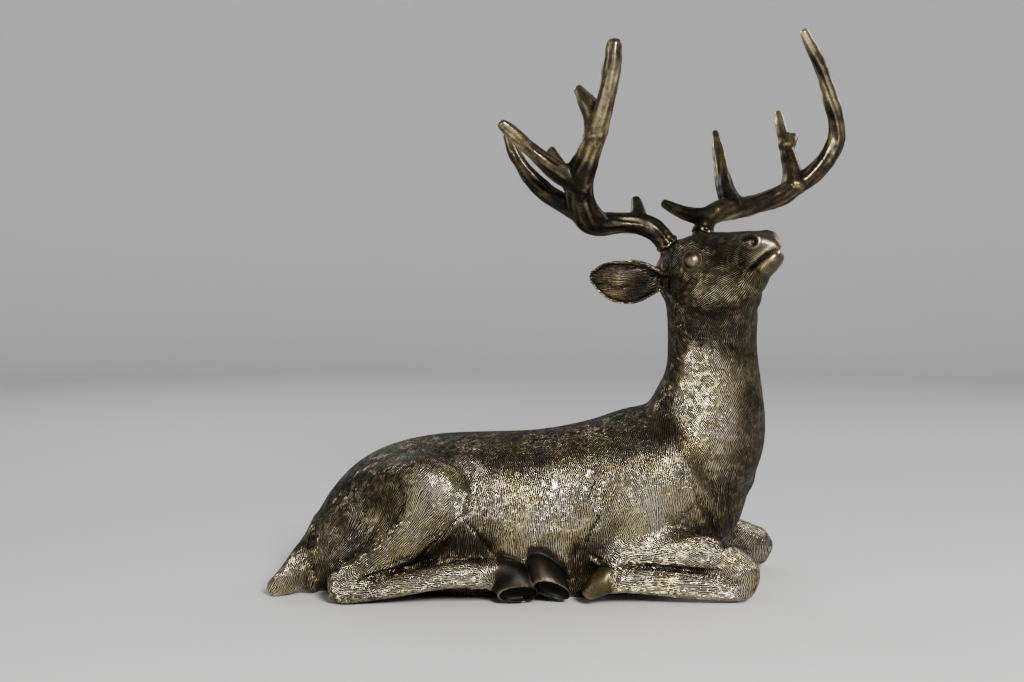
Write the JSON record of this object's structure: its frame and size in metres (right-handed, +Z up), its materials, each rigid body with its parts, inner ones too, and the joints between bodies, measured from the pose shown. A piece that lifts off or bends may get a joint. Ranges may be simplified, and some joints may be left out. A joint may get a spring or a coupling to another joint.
{
  "type": "recumbent stag statue",
  "caption": "Cast figure of a lying stag, legs folded under it, head raised and turned to its right, with branching antlers; stands on its flat underside.",
  "frame": {"origin": "on the ground under the middle of the whole piece, in the plane of the flat underside", "axes": "+X towards the stag's chest and front knees, +Y towards its left side, +Z up"},
  "size_m": [0.5865, 0.2433, 0.5583],
  "materials": {
    "bronze_fur": "antique bronze, dark in the carved fur and dry-brushed pale gold on its ridges",
    "bronze_antler": "dark antique bronze, smoother, with worn gold along the tines"
  },
  "bodies": {
    "root": {"deer_body": "bronze_fur", "antler_right": "bronze_antler", "antler_left": "bronze_antler"}
  },
  "joints": []
}
